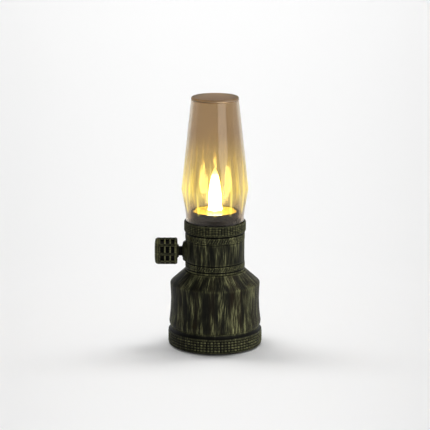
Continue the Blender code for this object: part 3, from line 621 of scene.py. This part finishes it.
knobBronze = dryBrushedBronze("dryBrushedAbsKnob", 8.0, knobCentre, knobTurn, strokes=0.35, edge=0.95,
                              broken=0.4)
knobSteel = dryBrushedBronze("blackenedSteelShaft", 3.0, knobCentre, knobTurn, strokes=0.1, edge=0.3)
addPiece(makeKnob(knobSettings, knobBronze), knobBronze, "knob", "painted_bronze", "dimmer_knob")
addPiece(makeNut("dimmerNut", 6.3, 18.65, 19.8, 0.85), knobBronze, "lamp_body", "zinc_steel", "dimmer_nut")
addPiece(makeNut("dimmerBoss", 6.6, 15.5, 18.6, 0.2), knobBronze, "lamp_body", "painted_bronze")
shaft = turnedObject("dimmerShaft", [
    (0.0, 34.2, 0.0), (2.9, 34.2, 0.2), (2.9, 9.2, 0.2), (0.0, 9.2, 0.0)], 48, closed=False)
shaft.data.transform(layAlongX)
addPiece(shaft, knobSteel, "knob", "zinc_steel", "dimmer_shaft")
bushing = turnedObject("dimmerBushing", [
    (3.1, 20.2, 0.15), (3.75, 20.2, 0.15), (3.75, 13.8, 0.0), (3.1, 13.8, 0.0)], 48)
bushing.data.transform(layAlongX)
addPiece(bushing, knobSteel, "lamp_body", "zinc_steel", "dimmer_bushing")
print("knob made")


# burner cup and plate
cupSettings = {
    "corners": [
        (13.7, 83.9, 0.1), (14.9, 83.9, 0.4), (14.9, 68.0, 0.1), (15.9, 68.0, 0.1), (15.9, 66.8, 0.1),
        (13.5, 66.8, 0.0), (13.5, 77.6, 0.0), (3.0, 77.6, 0.0), (3.0, 79.0, 0.0), (12.8, 79.0, 0.0),
        (12.8, 82.3, 0.0), (13.7, 82.3, 0.1),
    ],
    "plate": [
        (4.9, 83.1, 0.1), (5.6, 83.4, 0.2), (12.2, 83.2, 0.3), (12.7, 83.65, 0.25), (13.3, 83.5, 0.1),
        (13.3, 82.6, 0.0), (4.9, 82.6, 0.0),
    ],
}
# moulded ABS, near black: a soft sheen in upright streaks
cupPlastic = grainedFinish("blueGreyAbsMoulded", "#08090d", "#101218", 0.24, 0.12, patch=4.0, grain=0.5,
                           relief=0.01, stretch=(1, 1, 0.1), Specular_IOR_Level=0.5)
# satin gold plating on a pressed plate: its drawing lines are too fine to show, so patches stand in
platePlating = grainedFinish("goldPlatedSteelPressed", "#c9b352", "#dcc968", 0.4, 0.08, patch=2.0,
                             grain=0.4, metallic=0.5)
addPiece(turnedObject("burnerCup", cupSettings["corners"], 140), cupPlastic, "lamp_body", "dark_bronze",
         "burner_cup")
addPiece(turnedObject("reflectorPlate", cupSettings["plate"], 140), platePlating, "lamp_body", "gold_plate",
         "reflector_plate")


# flame
flameSettings = {
    "corners": [
        (0.0, 109.9, 0.0), (0.5, 109.5, 0.3), (1.35, 107.5, 3.0), (2.2, 105.0, 5.0), (3.1, 100.4, 12.0),
        (3.9, 94.6, 12.0), (4.3, 89.6, 8.0), (4.45, 85.6, 4.0), (4.4, 82.3, 0.3), (6.5, 82.3, 0.2),
        (6.5, 80.8, 0.2), (0.0, 80.8, 0.0),
    ],
    "base": ("#fff0cc", "#ffe2a6"),
    "tint": ["#fff3b8", "#fff19c", "#ffe66a"],  # of the light at the root, past the middle and at the tip
    "strength": 100.0,
    "bottom": 83.4,
    "top": 109.9,
    # share of the height, and of the light there
    "glow": [(0.03, 0.02), (0.08, 1.0), (0.55, 1.0), (0.72, 0.5), (0.88, 0.1), (1.0, 0.03)],
}


def flameFinish(s):
    # diffusing acrylic light guide, lit from below: white at its root, fading to yellow at the tip
    made, tree, shader = newMaterial("diffusingAcrylicLit", Roughness=0.45)
    place = addNode(tree, "ShaderNodeTexCoord").outputs["Object"]
    height = addNode(tree, "ShaderNodeSeparateXYZ", {0: place}).outputs["Z"]
    share = addNode(tree, "ShaderNodeMapRange", {
        "Value": height, "From Min": s["bottom"] * mm, "From Max": s["top"] * mm}).outputs[0]
    glow = setRamp(addNode(tree, "ShaderNodeValToRGB", {0: share}), [
        (part, hexColour(code)) for part, code in zip((0.0, 0.6, 1.0), s["tint"])])
    tree.links.new(glow.outputs[0], shader.inputs["Emission Color"])
    fading = setRamp(addNode(tree, "ShaderNodeValToRGB", {0: share}), [
        (part, (light, light, light, 1)) for part, light in s["glow"]])
    strength = addNode(tree, "ShaderNodeMath", {0: fading, 1: s["strength"]}, operation="MULTIPLY")
    tree.links.new(strength.outputs[0], shader.inputs["Emission Strength"])
    cloud = addNode(tree, "ShaderNodeTexNoise", {"Vector": place, "Scale": 250.0, "Detail": 2.0})
    milky = addNode(tree, "ShaderNodeMix", {
        "Factor": cloud.outputs["Fac"], "A": hexColour(s["base"][0]), "B": hexColour(s["base"][1])},
        data_type="RGBA")
    tree.links.new(milky.outputs["Result"], shader.inputs["Base Color"])
    return made


flame = turnedObject("flameDiffuser", flameSettings["corners"], 72, closed=False)
addPiece(flame, flameFinish(flameSettings), "lamp_body", "warm_diffuser", "flame_diffuser")
print("burner made")


# chimney: a round turned shell, both sides of it cut by the same leaning planes
chimneySettings = {
    "corners": [
        (0.0, 154.0, 0.0), (14.3, 154.0, 0.9), (20.5, 97.6, 1.2), (19.35, 91.0, 6.0), (18.45, 86.0, 10.0),
        (17.8, 80.8, 3.0), (17.8, 75.0, 0.3), (16.2, 75.0, 0.3), (16.2, 80.8, 3.0), (16.8, 86.0, 10.0),
        (17.7, 91.0, 6.0), (18.85, 97.6, 2.5), (12.8, 152.5, 1.4), (0.0, 152.4, 0.0),
    ],
    "wall": 1.6,
    "facets": 11,
    "turn": -91.0,  # the middle of the front facet, in degrees from +X
    "stepsPerFacet": 16,
    "planes": {"Girdle": 97.6, "GirdleReach": 19.75, "Arch": 122.5, "ArchReach": 17.75, "Foot": 81.0,
               "FootReach": 17.72, "Ease": 0.12},  # heights, and distances from the axis, in mm
}
# the amber's colours, and the flame's light painted on the wall as emission
glowSettings = {
    "tint": ("#cbb89e", "#c6b296"),
    "endTint": "#a07c50",
    "end": (152.2, 153.4),  # heights in mm over which the wall turns satin
    "roughness": (0.015, 0.6),  # of the wall and of the end
    "colour": "#fff06a",
    "girth": 19.0,  # mean radius in mm, for the streaks' widths
    "paintedStreak": (2.0, 0.8),  # width in mm of the broad painted streaks and of the fine ones
    "tips": (92.0, 132.0),  # heights in mm between which the painted streaks end
    "fade": 16.0,
    "strength": 0.27,
    "paintedHaze": 0.065,
    # heights in mm over which all painted light begins, the painted streaks come up, and all goes out
    "root": (82.5, 87.0),
    "foot": (85.0, 101.0),
    "crown": (110.0, 134.0),
    "halfFacet": math.pi / chimneySettings["facets"],
    "turn": math.radians(chimneySettings["turn"]),
    # the flame's painted images: height of widest and of tip, half width, softness (mm), and strength
    "images": [(86.0, 110.0, 0.9, 0.6, 0.4), (90.0, 122.0, 2.1, 1.8, 0.11)],
}


def facetTree():
    tree = bpy.data.node_groups.new("chimneyFacets", "GeometryNodeTree")
    tree.interface.new_socket("Geometry", in_out="INPUT", socket_type="NodeSocketGeometry")
    names = ("HalfFacet", "Turn", "Girdle", "GirdleReach", "Arch", "ArchReach", "Foot", "FootReach", "Ease")
    for name in names:
        tree.interface.new_socket(name, in_out="INPUT", socket_type="NodeSocketFloat")
    tree.interface.new_socket("Material", in_out="INPUT", socket_type="NodeSocketMaterial")
    tree.interface.new_socket("Geometry", in_out="OUTPUT", socket_type="NodeSocketGeometry")
    given = addNode(tree, "NodeGroupInput").outputs

    position = addNode(tree, "GeometryNodeInputPosition").outputs[0]
    parts = addNode(tree, "ShaderNodeSeparateXYZ", {0: position}).outputs
    flat = addNode(tree, "ShaderNodeVectorMath", {0: position, 1: (1, 1, 0)}, operation="MULTIPLY")
    radius = addNode(tree, "ShaderNodeVectorMath", {0: flat}, operation="LENGTH").outputs["Value"]
    # the angle from the middle of the nearest facet
    angle = addNode(tree, "ShaderNodeMath", {0: parts["Y"], 1: parts["X"]}, operation="ARCTAN2")
    turned = addNode(tree, "ShaderNodeMath", {0: angle, 1: given["Turn"]}, operation="SUBTRACT")
    aside = addNode(tree, "ShaderNodeMath", {0: turned, 1: given["HalfFacet"]}, operation="PINGPONG")
    # the plane's distance from the axis, falling away from the girdle both ways
    upper = addNode(tree, "ShaderNodeMapRange", {
        "Value": parts["Z"], "From Min": given["Girdle"], "From Max": given["Arch"],
        "To Min": given["GirdleReach"], "To Max": given["ArchReach"]}, clamp=False)
    lower = addNode(tree, "ShaderNodeMapRange", {
        "Value": parts["Z"], "From Min": given["Girdle"], "From Max": given["Foot"],
        "To Min": given["GirdleReach"], "To Max": given["FootReach"]}, clamp=False)
    nearer = addNode(tree, "ShaderNodeMath", {0: upper, 1: lower}, operation="MINIMUM")
    # the inner side keeps its wall's thickness behind the plane
    depth = addNode(tree, "GeometryNodeInputNamedAttribute", {"Name": "depth"})
    reach = addNode(tree, "ShaderNodeMath", {0: nearer, 1: depth}, operation="SUBTRACT")
    slope = addNode(tree, "ShaderNodeMath", {0: aside}, operation="COSINE")
    plane = addNode(tree, "ShaderNodeMath", {0: reach, 1: slope}, operation="DIVIDE")
    cut = addNode(tree, "ShaderNodeMath", {0: radius, 1: plane, 2: given["Ease"]}, operation="SMOOTH_MIN")
    ratio = addNode(tree, "ShaderNodeMath", {0: cut, 1: radius}, operation="DIVIDE")
    inwards = addNode(tree, "ShaderNodeCombineXYZ", {"X": ratio, "Y": ratio, "Z": 1.0})
    moved = addNode(tree, "ShaderNodeVectorMath", {0: position, 1: inwards}, operation="MULTIPLY")
    aboveFoot = addNode(tree, "ShaderNodeMath", {0: parts["Z"], 1: given["Foot"]}, operation="GREATER_THAN")
    shaped = addNode(tree, "GeometryNodeSetPosition", {
        "Geometry": given["Geometry"], "Selection": aboveFoot, "Position": moved})
    real = addNode(tree, "GeometryNodeRealizeInstances", {"Geometry": shaped})
    coated = addNode(tree, "GeometryNodeSetMaterial", {"Geometry": real, "Material": given["Material"]})
    addNode(tree, "NodeGroupOutput", {"Geometry": coated})
    return tree


def amberWithPaintedGlow(s):
    # pale amber acrylic, moulded: clear and glossy with faint flow waves. On its wall the flame's light is
    # painted as emission, a painted glow of golden streaks with pointed tips
    made, tree, shader = newMaterial("amberAcrylicMouldedPaintedGlow", IOR=1.45, Transmission_Weight=1.0)
    girth = s["girth"]
    circle, height, place = ringCoordinates(tree, (0, 0, 0), (0, 0, 0), 0.0)
    flow = addNode(tree, "ShaderNodeTexNoise", {"Vector": place, "Scale": 60.0, "Detail": 1.0})
    tint = addNode(tree, "ShaderNodeMix", {
        "Factor": flow.outputs["Fac"], "A": hexColour(s["tint"][0]), "B": hexColour(s["tint"][1])},
        data_type="RGBA")
    bump = addNode(tree, "ShaderNodeBump", {
        "Height": flow.outputs["Fac"], "Strength": 0.25, "Distance": 0.05 * mm})
    tree.links.new(bump.outputs[0], shader.inputs["Normal"])
    # the closed end is satin and a little deeper in colour
    end = addNode(tree, "ShaderNodeMapRange", {
        "Value": height, "From Min": s["end"][0] * mm, "From Max": s["end"][1] * mm})
    satin = addNode(tree, "ShaderNodeMapRange", {
        "Value": end, "To Min": s["roughness"][0], "To Max": s["roughness"][1]})
    tree.links.new(satin.outputs[0], shader.inputs["Roughness"])
    deeper = addNode(tree, "ShaderNodeMix", {
        "Factor": end, "A": tint.outputs["Result"], "B": hexColour(s["endTint"])}, data_type="RGBA")
    tree.links.new(deeper.outputs["Result"], shader.inputs["Base Color"])

    # painted reflection: each facet shows a painted emissive image of the flame, white along its middle,
    # golden round it, with a pointed tip
    parts = addNode(tree, "ShaderNodeSeparateXYZ", {0: place}).outputs
    angle = addNode(tree, "ShaderNodeMath", {0: parts["Y"], 1: parts["X"]}, operation="ARCTAN2")
    turned = addNode(tree, "ShaderNodeMath", {0: angle, 1: s["turn"]}, operation="SUBTRACT")
    aside = addNode(tree, "ShaderNodeMath", {0: turned, 1: s["halfFacet"]}, operation="PINGPONG")
    paintedFlameImage = 0.0
    for low, high, width, soft, light in s["images"]:
        half = addNode(tree, "ShaderNodeMapRange", {
            "Value": height, "From Min": low * mm, "From Max": high * mm, "To Min": width, "To Max": 0.0})
        within = addNode(tree, "ShaderNodeMath", {0: aside, 1: -girth, 2: half}, operation="MULTIPLY_ADD")
        paintedShine = addNode(tree, "ShaderNodeMapRange", {
            "Value": within, "From Max": soft, "To Max": light}, interpolation_type="SMOOTHSTEP")
        paintedFlameImage = addNode(tree, "ShaderNodeMath", {0: paintedShine, 1: paintedFlameImage}, operation="ADD")

    # painted glow: golden streaks up the wall, as emission
    broadWidth, fineWidth = s["paintedStreak"]
    lowest, highest = s["tips"]
    broad = addNode(tree, "ShaderNodeTexNoise", {
        "Vector": circle, "Scale": girth / broadWidth, "Detail": 1.0})
    fine = addNode(tree, "ShaderNodeTexNoise", {"Vector": circle, "Scale": girth / fineWidth, "Detail": 1.0})
    tip = addNode(tree, "ShaderNodeMapRange", {
        "Value": broad.outputs["Fac"], "From Min": 0.32, "From Max": 0.72, "To Min": lowest * mm,
        "To Max": highest * mm})
    left = addNode(tree, "ShaderNodeMath", {0: tip, 1: height}, operation="SUBTRACT")
    paintedStreak = addNode(tree, "ShaderNodeMapRange", {
        "Value": left, "From Max": s["fade"] * mm, "To Max": s["strength"]},
        interpolation_type="SMOOTHSTEP")
    # fine breaks along the painted streaks
    grain = addNode(tree, "ShaderNodeMapRange", {
        "Value": fine.outputs["Fac"], "From Min": 0.42, "From Max": 0.6, "To Min": 0.35, "To Max": 1.15})
    paintedStreaks = addNode(tree, "ShaderNodeMath", {
        0: paintedStreak, 1: grain, 2: s["paintedHaze"]}, operation="MULTIPLY_ADD")
    rising = addNode(tree, "ShaderNodeMapRange", {
        "Value": height, "From Min": s["foot"][0] * mm, "From Max": s["foot"][1] * mm},
        interpolation_type="SMOOTHSTEP")
    overFlame = addNode(tree, "ShaderNodeMapRange", {
        "Value": height, "From Min": s["crown"][1] * mm, "From Max": s["crown"][0] * mm},
        interpolation_type="SMOOTHSTEP")
    streaked = addNode(tree, "ShaderNodeMath", {0: paintedStreaks, 1: rising, 2: paintedFlameImage}, operation="MULTIPLY_ADD")
    aboveCup = addNode(tree, "ShaderNodeMapRange", {
        "Value": height, "From Min": s["root"][0] * mm, "From Max": s["root"][1] * mm,
        "To Max": overFlame}, interpolation_type="SMOOTHSTEP")
    # all the painted glow, faded in above the cup and out above the flame
    paintedFlameGlow = addNode(tree, "ShaderNodeMath", {0: streaked, 1: aboveCup}, operation="MULTIPLY")
    shader.inputs["Emission Color"].default_value = hexColour(s["colour"])
    tree.links.new(paintedFlameGlow.outputs[0], shader.inputs["Emission Strength"])
    return made


def makeChimney(s, material):
    shell = turnedObject("chimneyRound", s["corners"], s["facets"] * s["stepsPerFacet"], closed=False,
                         longest=0.8)
    mesh = shell.data
    # a row of points on each ridge between two facets
    mesh.transform(Matrix.Rotation(math.radians(s["turn"] + 180 / s["facets"]), 4, "Z"))
    places, normals = np.empty(len(mesh.vertices) * 3), np.empty(len(mesh.vertices) * 3)
    mesh.vertices.foreach_get("co", places)
    mesh.vertices.foreach_get("normal", normals)
    places, normals = places.reshape(-1, 3), normals.reshape(-1, 3)
    outward = (places[:, :2] * normals[:, :2]).sum(1) + normals[:, 2] * mm > 0
    layer = mesh.attributes.new("depth", "FLOAT", "POINT")
    layer.data.foreach_set("value", np.where(outward, 0.0, s["wall"] * mm).astype(np.float32))
    values = {name: size * mm for name, size in s["planes"].items()}
    values.update(HalfFacet=math.pi / s["facets"], Turn=math.radians(s["turn"]), Material=material)
    bpy.data.objects.remove(shell)
    return runTree(facetTree(), "chimneyShell", values, start=mesh)


amberAcrylic = amberWithPaintedGlow(glowSettings)
addPiece(makeChimney(chimneySettings, amberAcrylic), amberAcrylic, "chimney", "amber_clear", "chimney")
print("chimney made")


# finishes of the pieces that keep their frame shape
innerSettings = {
    # name, two colours, roughness and its spread, sizes of patch and grain in mm, then relief and metal
    "black_silicone": ("siliconeRubberMoulded", "#141414", "#1f1f1e", 0.75, 0.1, 4, 0.3),
    "black_abs": ("blackAbsMoulded", "#17181a", "#202124", 0.45, 0.1, 5, 0.4),
    "green_board": ("solderMaskOnFibreglass", "#0e5a2c", "#137a3b", 0.3, 0.06, 1.2, 0.3),
    "white_board": ("whiteSolderMask", "#e9e8e0", "#f4f3ec", 0.4, 0.06, 2, 0.3),
    "phenolic": ("pressedPhenolicPaper", "#6b4424", "#8a5c34", 0.5, 0.08, 1.0, 0.2),
    "zinc_steel": ("zincPlatedSteel", "#a9abad", "#c6c8c9", 0.32, 0.1, 1.5, 0.25, 0.02, 1.0),
    "battery_sleeve": ("blueShrinkSleeve", "#123f8c", "#1a52b0", 0.28, 0.06, 6, 0.6),
    "chip_epoxy": ("mouldedEpoxyChip", "#131313", "#1d1d1d", 0.55, 0.08, 1, 0.15),
    "phosphor": ("silicateOnLedChip", "#f2cf3f", "#ffe27a", 0.5, 0.05, 0.6, 0.1),
    "wire_red": ("redPvcExtruded", "#a31515", "#bf2020", 0.4, 0.06, 2, 0.3),
    "wire_black": ("blackPvcExtruded", "#161616", "#222222", 0.4, 0.06, 2, 0.3),
    "wire_white": ("whitePvcExtruded", "#d8d8d4", "#ecece8", 0.4, 0.06, 2, 0.3),
    "grey_foam": ("greyFoamTape", "#5a5a58", "#777774", 0.9, 0.05, 0.8, 0.3, 0.1),
}
innerFinishes = {slotName: grainedFinish(*values) for slotName, values in innerSettings.items()}
slotOf = {part["node"]: part["material_slot"] for part in frame["record"]["subparts"]}
for nodeName, nodeObject in frame["nodes"].items():
    finish = innerFinishes.get(slotOf[nodeName])
    if finish:
        for materialSlot in nodeObject.material_slots:
            materialSlot.material = finish
print("finishes set")


# floor and light
lightSettings = {
    # a long light box over the lamp, along X: (degrees from overhead, strength) to each side
    "overhead": [(8, 0.42), (16, 0.42), (25, 0.28), (36, 0.16)],
    "overheadBack": 15,  # and how far it stands behind the lamp, in degrees
    "overheadSpread": 13,
    "behind": 0.93,  # the room's brightness low down behind the lamp, in front of it and above it
    "front": 0.26,
    "above": 0.12,
    "forward": (-0.5, 0.3),  # direction along Y from the front's light to the back's
    "upward": (0.35, 0.7),  # and along Z from those to the light above
    "key": {"turn": (65, 0, 62), "strength": 3.4, "spread": 30},
    "box": {"place": (0.37, -0.59, 0.37), "target": (0, 0, 0.135), "size": (0.5, 0.74), "power": 2.5},
}
floorSettings = {
    "viewer": 1.164,  # painted shade: the sheet darkens sideways in a fan that opens from here, in front of the lamp
    "fan": 0.11,
    "edge": 0.085,
    "near": (-0.17, 0.93),  # painted shade: brightness at one distance along Y, and at another
    "far": (1.6, 1.0),
    "front": (-0.42, -0.20, 0.35),  # painted shade: from where to where the sheet darkens in front, and how far
}


def makeFloor(s):
    body = bmesh.new()
    bmesh.ops.create_circle(body, cap_ends=True, segments=64, radius=8.0)
    bmesh.ops.translate(body, vec=(0, 0, -0.2 * mm), verts=body.verts)
    floor = linkBody("floor", body)
    # matt paper sweep, no gloss. Its colour carries painted shade: a little darker towards its sides and its
    # front edge
    made, tree, shader = newMaterial("matPaperSweepPaintedShade", Roughness=0.9, Specular_IOR_Level=0.05)
    place = addNode(tree, "ShaderNodeTexCoord").outputs["Object"]
    parts = addNode(tree, "ShaderNodeSeparateXYZ", {0: place}).outputs
    depth = addNode(tree, "ShaderNodeMath", {0: parts["Y"], 1: s["viewer"]}, operation="ADD")
    fan = addNode(tree, "ShaderNodeMath", {0: parts["X"], 1: depth}, operation="DIVIDE")
    square = addNode(tree, "ShaderNodeMath", {0: fan, 1: 2.0}, operation="POWER")
    paintedSideShade = addNode(tree, "ShaderNodeMapRange", {
        "Value": square, "From Max": s["fan"] ** 2, "To Min": 1.0, "To Max": 1.0 - s["edge"]})
    # painted shade, a little darker towards the front
    along = addNode(tree, "ShaderNodeMapRange", {
        "Value": parts["Y"], "From Min": s["near"][0], "From Max": s["far"][0], "To Min": s["near"][1],
        "To Max": s["far"][1]})
    # painted shade, much darker past the front edge
    front = addNode(tree, "ShaderNodeMapRange", {
        "Value": parts["Y"], "From Min": s["front"][0], "From Max": s["front"][1], "To Min": s["front"][2]},
        interpolation_type="SMOOTHSTEP")
    paper = addNode(tree, "ShaderNodeMath", {0: paintedSideShade, 1: along}, operation="MULTIPLY")
    shaded = addNode(tree, "ShaderNodeMath", {0: paper, 1: front}, operation="MULTIPLY")
    tree.links.new(shaded.outputs[0], shader.inputs["Base Color"])
    floor.data.materials.append(made)
    return floor


def makeRoom(s):
    # bright low down behind, dim in front and overhead
    world = bpy.data.worlds.new("studio")
    bpy.context.scene.world = world
    world.use_nodes = True
    tree = world.node_tree
    direction = addNode(tree, "ShaderNodeTexCoord").outputs["Generated"]
    parts = addNode(tree, "ShaderNodeSeparateXYZ", {0: direction}).outputs
    low = addNode(tree, "ShaderNodeMapRange", {
        "Value": parts["Y"], "From Min": s["forward"][0], "From Max": s["forward"][1],
        "To Min": s["front"], "To Max": s["behind"]}, interpolation_type="SMOOTHSTEP")
    up = addNode(tree, "ShaderNodeMapRange", {
        "Value": parts["Z"], "From Min": s["upward"][0], "From Max": s["upward"][1]},
        interpolation_type="SMOOTHSTEP")
    mixed = addNode(tree, "ShaderNodeMix", {"Factor": up, "A": low, "B": s["above"]})
    tree.links.new(mixed.outputs[0], tree.nodes["Background"].inputs["Strength"])
    tree.nodes["Background"].inputs["Color"].default_value = (1, 1, 1, 1)


def addSun(name, turn, strength, spread):
    sun = bpy.data.lights.new(name, "SUN")
    sun.energy = strength
    sun.angle = math.radians(spread)
    obj = linkObject(name, sun)
    obj.rotation_euler = [math.radians(a) for a in turn]
    return obj


def makeLights(s, floor):
    # some lights fall on the paper alone, and some leave it alone
    linked = {}
    for state in ("INCLUDE", "EXCLUDE"):
        linked[state] = bpy.data.collections.new("paper" + state.capitalize())
        linked[state].objects.link(floor)
        linked[state].collection_objects[0].light_linking.link_state = state
    for number, (lean, strength) in enumerate(s["overhead"], 1):
        turn = (-s["overheadBack"], lean, 0)
        addSun(f"overheadRight{number}", turn, strength, s["overheadSpread"])
        left = addSun(f"overheadLeft{number}", (turn[0], -lean, 0), strength, s["overheadSpread"])
        left.light_linking.receiver_collection = linked["INCLUDE"]
    key = addSun("keySun", s["key"]["turn"], s["key"]["strength"], s["key"]["spread"])
    key.visible_glossy = False

    box = bpy.data.lights.new("lightBox", "AREA")
    box.shape = "RECTANGLE"
    box.size, box.size_y = s["box"]["size"]
    box.energy = s["box"]["power"]
    boxObject = linkObject("lightBox", box)
    boxObject.location = s["box"]["place"]
    aim = Vector(s["box"]["target"]) - Vector(s["box"]["place"])
    boxObject.rotation_euler = aim.to_track_quat("-Z", "Y").to_euler()
    boxObject.visible_camera = False
    for light in (key, boxObject):
        light.light_linking.receiver_collection = linked["EXCLUDE"]


makeRoom(lightSettings)
makeLights(lightSettings, makeFloor(floorSettings))
bpy.context.scene.view_settings.view_transform = "Standard"
bpy.context.scene.view_settings.look = "None"
print("floor and lights made")
